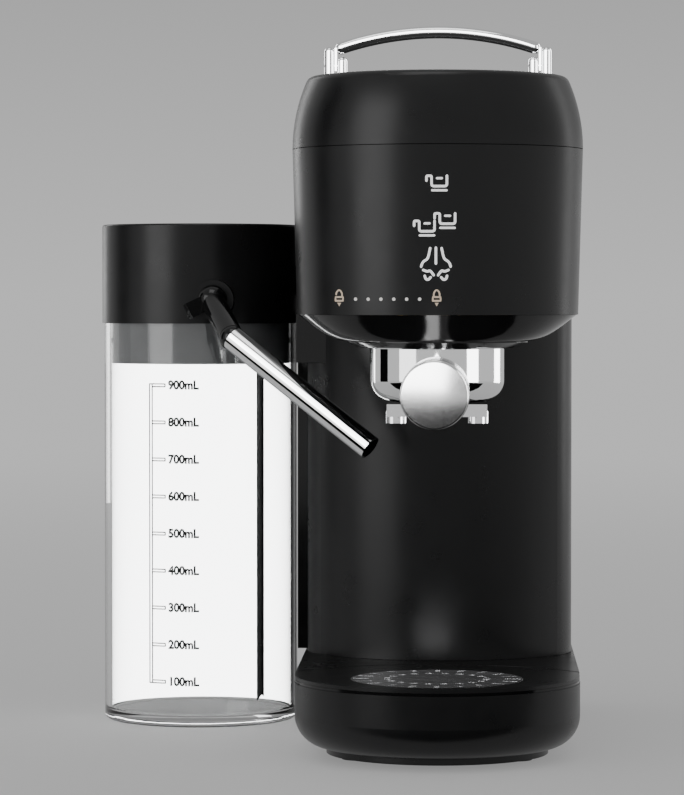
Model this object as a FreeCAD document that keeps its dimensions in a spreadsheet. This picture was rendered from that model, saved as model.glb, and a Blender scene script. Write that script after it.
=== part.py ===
import FreeCAD, Part
import math
import os

import Sketcher
from FreeCAD import Placement, Rotation, Vector

# Slim espresso machine with a milk jar docked on its left side.
# Millimetres, +Z up, front towards -Y, +X to the right seen from the front.
# Everything is laid out in the machine's own frame: x = 0 is its plane of symmetry, y = 0 is the
# centre of the round front, z = 0 is the worktop. centre_x and centre_y then move the whole
# assembly, so that the origin is the middle of its footprint.

os.makedirs("parts", exist_ok=True)
doc = FreeCAD.newDocument("CoffeeMachine")
sheet = doc.addObject("Spreadsheet::Sheet", "Sheet")

DIMENSIONS = {
    # common
    "wall": 2.4, "gap": 0.3, "body_rear": 150.4, "gland_reach": 6,
    "screw_radius": 1.6, "screw_head_radius": 3.1, "screw_seat": 3.4,
    # base
    "base_radius": 63.6, "base_rear": 224, "base_bottom": 4.5, "base_top": 36,
    "base_round": 14, "rear_corner": 22, "rim_level": 33, "foot_height": 1.6,
    "foot_radius": 8, "plate_inset": 14.2, "rear_fitting_level": 26.5,
    # drip tray and deck
    "tray_radius": 63.3, "tray_back_radius": 79, "tray_back_centre": -35,
    "dish_radius": 57, "dish_back_radius": 72.5, "dish_bottom": 11, "deck_thick": 1.6,
    "grate_radius": 38, "slot_inner": 30, "slot_outer": 37, "slot_width": 2.2,
    "hole_circle": 22, "hole_radius": 1.9, "grate_depth": 0.9, "vent_pitch": 8, "vent_width": 3,
    # column
    "column_half": 62.6, "column_front": 60, "column_bow": 48, "column_corner": 34,
    "frame_half": 48, "frame_top": 262, "frame_y": 134, "sheet_steel": 2.5,
    "head_bottom": 196.3,
    # head
    "head_low_radius": 62.4, "head_radius": 64.4, "seam_level": 269.3, "seam_gap": 0.3,
    "head_top": 301.5, "cap_curve": 75, "cap_edge": 4, "cap_shoulder": 299,
    # brew group and portafilter
    "group_y": -17, "collar_radius": 39.8, "collar_bottom": 182, "collar_top": 190,
    "trim_upper_radius": 57.4, "trim_upper_level": 193, "trim_lower_radius": 51.2,
    "trim_lower_level": 188.6, "trim_bottom": 184.7, "trim_wall": 2, "throat_radius": 36.3,
    "group_radius": 34, "screen_radius": 24, "notch_width": 24,
    "lip_radius": 31.6, "groove_radius": 35.4, "groove_bottom": 184.2, "groove_top": 188.6,
    "bowl_radius": 29.6, "bowl_bottom": 158, "bowl_round": 9.7, "bowl_bore": 27.2,
    "bowl_top": 186.8, "neck_ring": 31.2, "lug_radius": 35, "lug_bottom": 184.6,
    "basket_radius": 26.6, "basket_bottom": 165.2, "sheet_metal": 0.6,
    "spout_reach": 18, "nozzle_radius": 4.6, "nozzle_bottom": 148.6, "spout_top": 157,
    "grip_radius": 14.25, "grip_level": 164, "grip_front": -137, "grip_back": -53,
    "cap_front": -140.6, "cap_dome": 70, "unlock_angle": -42, "spout_half_depth": 6.5,
    # works inside the housing
    "pump_x": -25, "pump_y": 112, "pump_bottom": 80, "pump_radius": 20, "flow_x": 28,
    "flow_y": 110, "flow_bottom": 60, "board_y": 140, "port_reach": 7.4,
    # water tank
    "tank_front": 151.4, "tank_rear": 222.5, "tank_half": 61.4, "tank_bottom": 38,
    "tank_top": 289, "tank_wall": 2.2, "lid_gap": 0.3, "valve_y": 186, "stem_radius": 4,
    # milk jar and its lid
    "jar_x": -115.9, "jar_y": 142, "jar_radius": 46.7, "jar_bore": 43.6, "jar_floor": 4.8,
    "jar_top": 191.4, "lid_radius": 47.65, "lid_bottom": 191.5, "lid_top": 238.8,
    "skirt_radius": 42.9, "skirt_bottom": 172.2, "suction_offset": 28.9,
    "suction_radius": 1.8, "suction_set_back": 4, "link_level": 212, "froth_radius": 9.3,
    # milk spout
    "hub_x": -106.2, "hub_y": 86, "hub_level": 202.6, "hub_radius": 9.5,
    "elbow_x": -94.6, "elbow_y": 50, "elbow_level": 185.2, "neck_radius": 5.6,
    "tip_x": -30.5, "tip_y": 22, "tip_level": 136, "pipe_radius": 5.6,
    "journal_radius": 4.5, "knuckle_radius": 7.1, "knuckle_y": 3.4,
    "lever_length": 13, "lever_depth": 5.6, "lever_height": 7.4,
    # carry handle
    "handle_y": 10, "bow_radius": 137, "bow_top": 322, "rod_radius": 2.75, "bow_half": 43,
    "post_radius": 2.3, "inner_post": 42.6, "outer_post": 48.4, "inner_post_top": 311.2,
    "outer_post_top": 315.6, "pivot_level": 307, "pin_radius": 0.9,
    # rocker switch and cord inlet
    "switch_x": 30, "inlet_x": -30, "inlet_radius": 6.5,
}
GRATE_SLOTS = 20
VENTS = 7
LEVER_DROP = -26
LEVER_TURN = 20
SUCTION_SLANT = 35
SENSOR_ANGLE = 70
SCREW_SPOTS = [(-36, 20), (36, 20), (-40, 90), (40, 90), (-40, 160), (40, 160)]
FOOT_SPOTS = [(-34, -14), (34, -14), (-38, 192), (38, 192)]


class Size:
    """A number together with the spreadsheet formula that it comes from."""

    def __init__(self, value, formula):
        self.value = float(value)
        self.formula = formula

    def __float__(self):
        return self.value

    def __add__(self, other):
        other = as_size(other)
        return Size(self.value + other.value, f"({self.formula} + {other.formula})")

    def __sub__(self, other):
        other = as_size(other)
        return Size(self.value - other.value, f"({self.formula} - {other.formula})")

    def __mul__(self, other):
        other = as_size(other)
        return Size(self.value * other.value, f"({self.formula} * {other.formula})")

    def __truediv__(self, other):
        other = as_size(other)
        return Size(self.value / other.value, f"({self.formula} / {other.formula})")

    def __neg__(self):
        return Size(-self.value, f"(-1 * {self.formula})")

    def __radd__(self, other):
        return as_size(other) + self

    def __rsub__(self, other):
        return as_size(other) - self

    def __rmul__(self, other):
        return as_size(other) * self


class Sizes:
    """The spreadsheet's cells as attributes, each one a Size."""


def as_size(number):
    if isinstance(number, Size):
        return number
    return Size(number, f"({float(number)})")


def root(size):
    return Size(math.sqrt(size.value), f"sqrt({size.formula})")


s = Sizes()
for row, (alias, number) in enumerate(DIMENSIONS.items(), start=1):
    sheet.set(f"A{row}", alias.replace("_", " "))
    sheet.set(f"B{row}", str(number))
    sheet.setAlias(f"B{row}", alias)
    setattr(s, alias, Size(number, f"Sheet.{alias}"))
doc.recompute()
# half way between the jar's lid and the head's far side, and between the handle and the cord inlet
s.centre_x = (s.lid_radius - s.jar_x - s.head_radius) / 2
s.centre_y = (s.cap_front + s.base_rear + s.gland_reach) / -2
s.post_middle = (s.inner_post + s.outer_post) / 2
s.suction_x = s.jar_x + s.suction_offset
s.suction_y = s.jar_y - s.suction_set_back

AXES = {"X": Rotation(Vector(0, 1, 0), 90), "Y": Rotation(Vector(1, 0, 0), -90), "Z": Rotation()}
spots = {}
nodes = []


# ---------------------------------------------------------------- helpers

def bind(obj, prop, value):
    """Tie a property to a number or to the spreadsheet."""
    obj.setExpression(prop, as_size(value).formula)


def locate(obj, spot, rotation=Rotation()):
    """Put an object at a spot of the machine's frame."""
    obj.Placement = Placement(Vector(*[float(part) for part in spot]), rotation)
    for letter, part in zip("xyz", spot):
        bind(obj, f"Placement.Base.{letter}", part)
    spots[obj.Name] = spot


def node(obj, label):
    """Keep an object as a sub-part, moved from the machine's frame to the footprint's middle."""
    x, y, z = spots.get(obj.Name, (0, 0, 0))
    locate(obj, (as_size(x) + s.centre_x, as_size(y) + s.centre_y, as_size(z)),
           obj.Placement.Rotation)
    obj.Label = label
    nodes.append(obj)
    return obj


def box(name, low, high, rotation=Rotation()):
    block = doc.addObject("Part::Box", name)
    for prop, small, large in zip(("Length", "Width", "Height"), low, high):
        bind(block, prop, as_size(large) - small)
    locate(block, low, rotation)
    return block


def cylinder(name, radius, start, length, axis="Z"):
    rod = doc.addObject("Part::Cylinder", name)
    bind(rod, "Radius", radius)
    bind(rod, "Height", length)
    locate(rod, start, AXES[axis])
    return rod


def sphere(name, radius, centre):
    ball = doc.addObject("Part::Sphere", name)
    bind(ball, "Radius", radius)
    locate(ball, centre)
    return ball


def tube(name, outer, inner, start, length, axis="Z"):
    return cut(name, cylinder(name + "Outside", outer, start, length, axis),
               cylinder(name + "Bore", inner, start, length, axis))


def cut(name, base, *tools):
    result = doc.addObject("Part::Cut", name)
    result.Base = base
    result.Tool = tools[0] if len(tools) == 1 else fuse(name + "Tools", *tools)
    return result


def fuse(name, *pieces):
    result = doc.addObject("Part::MultiFuse", name)
    result.Shapes = list(pieces)
    return result


def common(name, first, second):
    result = doc.addObject("Part::Common", name)
    result.Base = first
    result.Tool = second
    return result


def group(name, *pieces):
    """Separate solids that share one node."""
    result = doc.addObject("Part::Compound", name)
    result.Links = list(pieces)
    return result


def loft(name, *circles):
    """A round skin through circles given as (radius, x, y, z)."""
    rings = []
    for number, (radius, x, y, z) in enumerate(circles):
        ring = doc.addObject("Part::Circle", f"{name}Ring{number}")
        bind(ring, "Radius", radius)
        locate(ring, (x, y, z))
        rings.append(ring)
    result = doc.addObject("Part::Loft", name)
    result.Sections = rings
    result.Solid = True
    return result


def plane(body, role):
    return next(item for item in body.Origin.OriginFeatures if item.Role == role)


def arc_piece(first, last, radius):
    """The short arc from first to last: counter-clockwise for a positive radius."""
    chord = last - first
    half = chord.Length / 2
    left = Vector(-chord.y, chord.x, 0).normalize()
    reach = math.sqrt(max(radius * radius - half * half, 0))
    centre = (first + last) / 2 + left * (reach if radius > 0 else -reach)
    start, end = (first, last) if radius > 0 else (last, first)
    angles = [math.atan2(point.y - centre.y, point.x - centre.x) for point in (start, end)]
    if angles[1] < angles[0]:
        angles[1] += 2 * math.pi
    return Part.ArcOfCircle(Part.Circle(centre, Vector(0, 0, 1), abs(radius)), *angles)


def hold(sketch, kind, geometry, size):
    """One dimension of a sketch, tied to the spreadsheet."""
    index = sketch.addConstraint(Sketcher.Constraint(kind, *geometry, float(size)))
    if isinstance(size, Size) and "Sheet." in size.formula:
        sketch.setExpression(f"Constraints[{index}]", size.formula)


def draw(sketch, outline, closed=True):
    """Draw corners given as (x, y) or (x, y, radius of the arc that leaves the corner)."""
    corners = [Vector(float(corner[0]), float(corner[1]), 0) for corner in outline]
    count = len(corners) if closed else len(corners) - 1
    ends = []
    for number in range(count):
        first, last = corners[number], corners[(number + 1) % len(corners)]
        radius = outline[number][2] if len(outline[number]) > 2 else 0
        if float(radius) == 0:
            index = sketch.addGeometry(Part.LineSegment(first, last), False)
            ends.append((index, 1, 2))
            continue
        index = sketch.addGeometry(arc_piece(first, last, float(radius)), False)
        ends.append((index, 1, 2) if float(radius) > 0 else (index, 2, 1))
        hold(sketch, "Radius", (index,), radius if float(radius) > 0 else -radius)
    for number in range(count if closed else count - 1):
        index, _, last = ends[number]
        follower, start, _ = ends[(number + 1) % count]
        sketch.addConstraint(Sketcher.Constraint("Coincident", index, last, follower, start))
    for number, corner in enumerate(outline):
        index, start, last = ends[min(number, count - 1)]
        point = start if number < count else last
        for kind, axis, value in (("DistanceX", -2, corner[0]), ("DistanceY", -1, corner[1])):
            if float(value) == 0:
                sketch.addConstraint(Sketcher.Constraint("PointOnObject", index, point, axis))
            else:
                hold(sketch, kind, (-1, 1, index, point), value)


def add_sketch(body, role, outline, offset=0, closed=True):
    sketch = body.newObject("Sketcher::SketchObject", body.Name + "Sketch")
    sketch.AttachmentSupport = [(plane(body, role), "")]
    sketch.MapMode = "FlatFace"
    sketch.AttachmentOffset = Placement(Vector(0, 0, float(offset)), Rotation())
    bind(sketch, "AttachmentOffset.Base.z", offset)
    draw(sketch, outline, closed)
    return sketch


def prism(name, outline, bottom, top):
    """An outline of the XY plane, raised from one level to another."""
    body = doc.addObject("PartDesign::Body", name)
    pad = body.newObject("PartDesign::Pad", name + "Pad")
    pad.Profile = add_sketch(body, "XY_Plane", outline, bottom)
    bind(pad, "Length", as_size(top) - bottom)
    return body


def turned(name, outline, angle=360):
    """An outline of the XZ plane, turned about the body's own Z axis."""
    body = doc.addObject("PartDesign::Body", name)
    turn = body.newObject("PartDesign::Revolution", name + "Turn")
    sketch = add_sketch(body, "XZ_Plane", outline)
    turn.Profile = sketch
    turn.ReferenceAxis = (sketch, ["V_Axis"])
    turn.Angle = angle
    turn.Midplane = angle < 360
    return body


def round_nosed(name, section, rear):
    """A half section turned through the round front, then run straight to the rear."""
    body = doc.addObject("PartDesign::Body", name)
    sketch = add_sketch(body, "XZ_Plane", section)
    turn = body.newObject("PartDesign::Revolution", name + "Nose")
    turn.Profile = sketch
    turn.ReferenceAxis = (sketch, ["V_Axis"])
    turn.Angle = 180
    turn.Reversed = True
    doc.recompute()
    if turn.Shape.CenterOfMass.y > 0:
        turn.Reversed = False
    run = body.newObject("PartDesign::Pad", name + "Run")
    run.Profile = sketch
    run.Reversed = True
    bind(run, "Length", rear)
    doc.recompute()
    mirror = body.newObject("PartDesign::Mirrored", name + "Mirror")
    mirror.Originals = [run]
    mirror.MirrorPlane = (plane(body, "YZ_Plane"), [""])
    body.Tip = mirror
    return body


def fillet_level(body, level, radius):
    """Round the edges that lie wholly at one level."""
    doc.recompute()
    last = body.Tip
    names = []
    for number, edge in enumerate(last.Shape.Edges, start=1):
        bounds = edge.BoundBox
        if abs(bounds.ZMin - float(level)) < 0.01 and abs(bounds.ZMax - float(level)) < 0.01:
            names.append(f"Edge{number}")
    rounding = body.newObject("PartDesign::Fillet", body.Name + "Round")
    rounding.Base = (last, names)
    bind(rounding, "Radius", radius)
    return body


def d_outline(radius, rear, corner):
    """Round front, straight sides, rounded rear corners."""
    return [(-radius, 0, radius), (0, -radius, radius), (radius, 0), (radius, rear - corner, corner),
            (radius - corner, rear), (corner - radius, rear, corner), (-radius, rear - corner)]


def tray_outline(radius, back_radius):
    """Round front closed at the back by a flatter arc."""
    side = s.tray_back_centre + root(back_radius * back_radius - radius * radius)
    return [(-radius, 0, radius), (0, -radius, radius), (radius, 0), (radius, side, back_radius),
            (-radius, side)]


def column_outline(half, front, corner, rear):
    """Bowed front made of three arcs, straight sides."""
    side = s.column_front + s.column_bow
    bow = side - front
    corner_x = half - corner
    big = (corner_x * corner_x + bow * bow - corner * corner) / ((bow - corner) * 2)
    reach = big / (big - corner)
    touch_x = corner_x * reach
    touch_y = front + big + (side - front - big) * reach
    return [(-half, side, corner), (-touch_x, touch_y, big), (touch_x, touch_y, corner),
            (half, side), (half, rear), (-half, rear)]


def column_block(name, margin):
    """The column as a solid, a little larger all round, to cut its neighbours with."""
    outline = column_outline(s.column_half + margin, s.column_front - margin,
                             s.column_corner + margin, s.body_rear)
    return prism(name, outline, s.base_top, s.head_bottom + 1)


def tank_outline(half, front, rear, corner):
    """Flat front, rounded rear corners."""
    return [(-half, front), (half, front), (half, rear - corner, corner), (half - corner, rear),
            (corner - half, rear, corner), (-half, rear - corner)]


def hose(name, points, radius, bend):
    """A round bar along straight runs joined by tangent arcs."""
    corners = [Vector(*[float(part) for part in point]) for point in points]
    edges = []
    start = corners[0]
    for before, corner, after in zip(corners, corners[1:], corners[2:]):
        inward = (before - corner).normalize()
        onward = (after - corner).normalize()
        half_turn = inward.getAngle(onward) / 2
        setback = float(bend) / math.tan(half_turn)
        middle = (inward + onward).normalize()
        centre_distance = float(bend) / math.sin(half_turn)
        first = corner + inward * setback
        last = corner + onward * setback
        top = corner + middle * (centre_distance - float(bend))
        edges.append(Part.LineSegment(start, first).toShape())
        edges.append(Part.Arc(first, top, last).toShape())
        start = last
    edges.append(Part.LineSegment(start, corners[-1]).toShape())
    path = Part.Wire(edges)
    direction = (corners[1] - corners[0]).normalize()
    ring = Part.Wire(Part.makeCircle(float(radius), corners[0], direction))
    bar = doc.addObject("Part::Feature", name)
    bar.Shape = path.makePipeShell([ring], True, False)
    return bar


def between(name, radius, start, end, inner=None):
    """A round bar, or a pipe, from one point to another."""
    low = Vector(*[float(part) for part in start])
    high = Vector(*[float(part) for part in end])
    run = high - low
    turn = Rotation(Vector(0, 0, 1), run)
    squares = [(as_size(b) - a) * (as_size(b) - a) for a, b in zip(start, end)]
    length = root(squares[0] + squares[1] + squares[2])
    bars = []
    for part, size in (("Bar", radius), ("Bore", inner)):
        if size is None:
            continue
        bar = doc.addObject("Part::Cylinder", name + part)
        bind(bar, "Radius", size)
        bind(bar, "Height", length)
        locate(bar, start, turn)
        bars.append(bar)
    return bars[0] if inner is None else cut(name, *bars)


# ---------------------------------------------------------------- base

def make_base():
    outside = prism("BaseOutside", d_outline(s.base_radius, s.base_rear, s.rear_corner),
                    s.base_bottom, s.base_top)
    fillet_level(outside, s.base_bottom, s.base_round)
    inside = prism("BaseInside", d_outline(s.base_radius - s.wall, s.base_rear - s.wall,
                                           s.rear_corner - s.wall),
                   s.base_bottom + s.wall, s.base_top - s.wall)
    fillet_level(inside, s.base_bottom + s.wall, s.base_round - s.wall)
    recess = cylinder("TrayRecess", s.tray_back_radius + s.gap,
                      (0, s.tray_back_centre, s.rim_level), 10)
    through = s.base_rear - s.wall - 1
    openings = [
        cylinder("InletHole", s.inlet_radius, (s.inlet_x, through, s.rear_fitting_level), 5, "Y"),
        box("SwitchHole", (s.switch_x - 9.6, through, s.rear_fitting_level - 6.1),
            (s.switch_x + 9.6, s.base_rear + 1, s.rear_fitting_level + 6.1)),
        cylinder("SeatHole", 7, (0, s.valve_y, s.base_top - 5), 8),
        cylinder("HoseHole", 5, (s.flow_x, s.flow_y, s.base_top - 5), 8),
    ]
    for number, (x, y) in enumerate(SCREW_SPOTS):
        openings.append(cylinder(f"ScrewHole{number}", s.screw_radius + 0.1,
                                 (x, y, s.base_bottom - 1), 6))
    node(cut("Base", outside, inside, recess, *openings), "base_shell")

    plate_radius = s.base_radius - s.plate_inset
    plate = prism("PlateBlank", d_outline(plate_radius, s.base_rear - s.plate_inset, as_size(8)),
                  s.foot_height, s.base_bottom)
    cuts = []
    for number, (x, y) in enumerate(SCREW_SPOTS):
        cuts.append(cylinder(f"PlateHole{number}", s.screw_radius + 0.1, (x, y, 0), 6))
        cuts.append(cylinder(f"HeadSeat{number}", s.screw_head_radius + s.gap, (x, y, 0), s.screw_seat))
    for number in range(VENTS):
        front = 96 + s.vent_pitch * number
        cuts.append(box(f"VentSlot{number}", (-20, front, 0), (20, front + s.vent_width, 6)))
    node(cut("Plate", plate, *cuts), "base_plate")

    feet = [cylinder(f"Foot{number}", s.foot_radius, (x, y, 0), s.foot_height)
            for number, (x, y) in enumerate(FOOT_SPOTS)]
    node(group("Feet", *feet), "rubber_feet")

    screws = []
    for number, (x, y) in enumerate(SCREW_SPOTS):
        head = cylinder(f"ScrewHead{number}", s.screw_head_radius, (x, y, s.screw_seat - 1.6), 1.6)
        shank = cylinder(f"ScrewShank{number}", s.screw_radius, (x, y, s.screw_seat), 7)
        screws.append(fuse(f"Screw{number}", head, shank))
    node(group("Screws", *screws), "base_screws")


def make_drip_tray():
    dish = prism("DishOutside", tray_outline(s.dish_radius, s.dish_back_radius),
                 s.dish_bottom, s.rim_level + 1.2)
    rim = prism("DishRim", tray_outline(s.tray_radius, s.tray_back_radius),
                s.rim_level + 0.1, s.rim_level + 1.2)
    hollow = prism("DishInside", tray_outline(s.dish_radius - 1.8, s.dish_back_radius - 1.8),
                   s.dish_bottom + 1.8, s.rim_level + 3)
    node(cut("Tray", fuse("TraySolid", dish, rim), hollow), "drip_tray")

    deck_bottom = s.base_top - 0.1 - s.deck_thick
    deck = prism("DeckBlank", tray_outline(s.tray_radius, s.tray_back_radius),
                 deck_bottom, s.base_top - 0.1)
    seat_level = s.base_top - 0.1 - s.grate_depth
    seat = cylinder("GrateSeat", s.grate_radius + 0.15, (0, s.group_y, seat_level), 4)
    mouth = cylinder("GrateMouth", s.grate_radius - 3, (0, s.group_y, deck_bottom - 1), 6)
    node(cut("Deck", deck, seat, mouth), "tray_deck")

    disc = doc.addObject("PartDesign::Body", "GrateDisc")
    pad = disc.newObject("PartDesign::Pad", "GratePad")
    radius = s.grate_radius
    pad.Profile = add_sketch(disc, "XY_Plane", [(-radius, 0, radius), (0, -radius, radius),
                                                (radius, 0, radius), (0, radius, radius)],
                             seat_level)
    bind(pad, "Length", s.grate_depth)
    doc.recompute()
    half = s.slot_width / 2
    slot = disc.newObject("PartDesign::Pocket", "RadialSlot")
    slot.Profile = add_sketch(disc, "XY_Plane", [(s.slot_inner, -half), (s.slot_outer, -half),
                                                 (s.slot_outer, half), (s.slot_inner, half)],
                              s.base_top + 1)
    slot.Type = "ThroughAll"
    doc.recompute()
    circle = disc.newObject("PartDesign::PolarPattern", "SlotPattern")
    circle.Originals = [slot]
    circle.Axis = (plane(disc, "Z_Axis"), [""])
    circle.Angle = 360
    circle.Occurrences = GRATE_SLOTS
    disc.Tip = circle
    locate(disc, (0, s.group_y, 0))
    holes = []
    for number in range(GRATE_SLOTS):
        angle = 2 * math.pi * (number + 0.5) / GRATE_SLOTS
        x, y = s.hole_circle * math.cos(angle), s.group_y + s.hole_circle * math.sin(angle)
        holes.append(cylinder(f"DrainHole{number}", s.hole_radius, (x, y, s.rim_level), 6))
    node(cut("Grate", disc, *holes), "drip_grate")


# ---------------------------------------------------------------- column and head

def make_housing():
    top = s.head_bottom - 0.1
    outside = prism("ColumnOutside", column_outline(s.column_half, s.column_front,
                                                    s.column_corner, s.body_rear),
                    s.base_top + 0.1, top)
    inside = prism("ColumnInside", column_outline(s.column_half - s.wall, s.column_front + s.wall,
                                                  s.column_corner - s.wall, s.body_rear + 5),
                   s.base_top - 1, top + 1)
    node(cut("Column", outside, inside), "column_shell")

    panel_low, panel_half = s.base_top + 0.4, s.column_half - 2.8
    panel = box("PanelLow", (-panel_half, s.body_rear - s.wall, panel_low),
                (panel_half, s.body_rear, s.seam_level + 15))
    crown = box("PanelHigh", (9 - panel_half, s.body_rear - s.wall, s.seam_level),
                (panel_half - 9, s.body_rear, s.head_top - 2.8))
    node(fuse("RearPanel", panel, crown), "rear_panel")

    seam = s.seam_level - s.seam_gap / 2
    sides = round_nosed("HeadSides", [
        (s.head_low_radius, s.head_bottom), (s.head_radius, seam),
        (s.head_radius - s.wall, seam), (s.head_low_radius - s.wall, s.head_bottom)], s.body_rear)
    port = cylinder("PortHole", 5.1, (-70, s.jar_y, s.link_level), 20, "X")
    node(cut("Head", sides, port), "head_shell")

    start = s.seam_level + s.seam_gap / 2
    rise = s.cap_shoulder - start
    curve = s.cap_curve
    shoulder = s.head_radius - curve + root(curve * curve - rise * rise)
    inner = curve - s.wall
    inner_shoulder = s.head_radius - curve + root(inner * inner - rise * rise)
    flat = s.head_top - s.wall
    cap = round_nosed("CapShell", [
        (s.head_radius, start, curve), (shoulder, s.cap_shoulder, s.cap_edge),
        (shoulder - 3.5, s.head_top), (0, s.head_top), (0, flat),
        (inner_shoulder - 1.2, flat), (inner_shoulder, s.cap_shoulder - 1.4, -inner),
        (s.head_radius - s.wall, start)], s.body_rear)
    posts = [cylinder(f"PostHole{number}", 1.25, (side * x, s.handle_y, s.head_top - 6), 8)
             for number, (side, x) in enumerate(post_places())]
    node(cut("Cap", cap, *posts), "head_cover")

    floor = prism("FloorBlank", d_outline(s.head_low_radius - s.wall - 0.1,
                                          s.body_rear - s.wall - 0.2, as_size(1)),
                  s.head_bottom, s.head_bottom + 2)
    throat = cylinder("FloorThroat", s.throat_radius, (0, s.group_y, s.head_bottom - 1), 5)
    passage = box("FloorPassage", (-52, 92, s.head_bottom - 1), (52, 145, s.head_bottom + 3))
    node(cut("Floor", floor, throat, passage), "head_floor")

    rings = [(s.head_low_radius - 0.6, 0, s.head_bottom - 0.1),
             (s.trim_upper_radius, 0.2, s.trim_upper_level),
             (s.trim_lower_radius, 0.5, s.trim_lower_level),
             (s.collar_radius + 1.2, 1, s.trim_bottom)]
    skin = loft("TrimSkin", *[(radius, 0, s.group_y * share, level)
                              for radius, share, level in rings])
    core = loft("TrimCore", *[(radius - s.trim_wall, 0, s.group_y * share, level + rise)
                              for (radius, share, level), rise in zip(rings, (0.1, 0.6, 1.2, 2))])
    bore = cylinder("TrimBore", s.collar_radius + 0.1, (0, s.group_y, s.collar_bottom), 20)
    node(cut("Trim", skin, core, bore, column_block("TrimKeep", 0.3)), "head_trim")


def make_frame():
    plate = box("FramePlate", (-s.frame_half, s.frame_y, s.base_top + 0.4),
                (s.frame_half, s.frame_y + s.sheet_steel, s.frame_top))
    window = box("FrameWindow", (-20, s.frame_y - 4, 84), (20, s.frame_y + 6, 150))
    feet = box("FrameFoot", (-s.frame_half, s.frame_y - 18, s.base_top + 0.4),
               (s.frame_half, s.frame_y, s.base_top + 2.4))
    hose_way = cylinder("FrameHoseWay", 9, (s.flow_x, s.flow_y, s.base_top), 5)
    node(cut("Frame", fuse("FrameSolid", plate, feet), window, hose_way), "inner_frame")


# ---------------------------------------------------------------- brew group

def make_group():
    ring = turned("CollarRing", [
        (s.lip_radius, s.collar_bottom), (s.collar_radius - 4.2, s.collar_bottom),
        (s.collar_radius, s.collar_bottom + 2.2), (s.collar_radius, s.collar_top),
        (s.lip_radius, s.collar_top), (s.lip_radius, s.groove_top),
        (s.groove_radius, s.groove_top), (s.groove_radius, s.groove_bottom),
        (s.lip_radius, s.groove_bottom)])
    locate(ring, (0, s.group_y, 0))
    notches = []
    for number, turn in enumerate((s.unlock_angle.value, s.unlock_angle.value + 180)):
        notch = box(f"LugNotch{number}", (0, s.group_y, s.collar_bottom - 1),
                    (s.groove_radius, s.group_y + s.notch_width, s.groove_bottom + 1))
        # the block starts on the axis, so its near corner is set back half its width
        shift = Rotation(Vector(0, 0, 1), turn).multVec(Vector(0, -s.notch_width.value / 2, 0))
        locate(notch, (shift.x, s.group_y + shift.y, s.collar_bottom - 1),
               Rotation(Vector(0, 0, 1), turn))
        notches.append(notch)
    node(cut("Collar", ring, *notches), "group_collar")

    block = cylinder("GroupBlock", s.group_radius, (0, s.group_y, s.collar_top + 0.1), 25.9)
    outlet = cylinder("GroupOutlet", 3, (0, s.group_y, s.collar_top - 1), 30)
    node(cut("Group", block, outlet), "group_head")
    gasket = tube("Gasket", 31, s.screen_radius + 0.4, (0, s.group_y, s.bowl_top + 1), 2.2)
    node(gasket, "group_gasket")
    screen = cylinder("ScreenDisc", s.screen_radius, (0, s.group_y, s.collar_top - 1.6), 0.8)
    holes = []
    for circle, count in ((6, 6), (12, 12), (18, 18)):
        for number in range(count):
            angle = 2 * math.pi * number / count
            x, y = circle * math.cos(angle), s.group_y + circle * math.sin(angle)
            holes.append(cylinder(f"ScreenHole{circle}At{number}", 0.9,
                                  (x, y, s.collar_top - 3), 4))
    node(cut("Screen", screen, *holes), "shower_screen")


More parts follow.
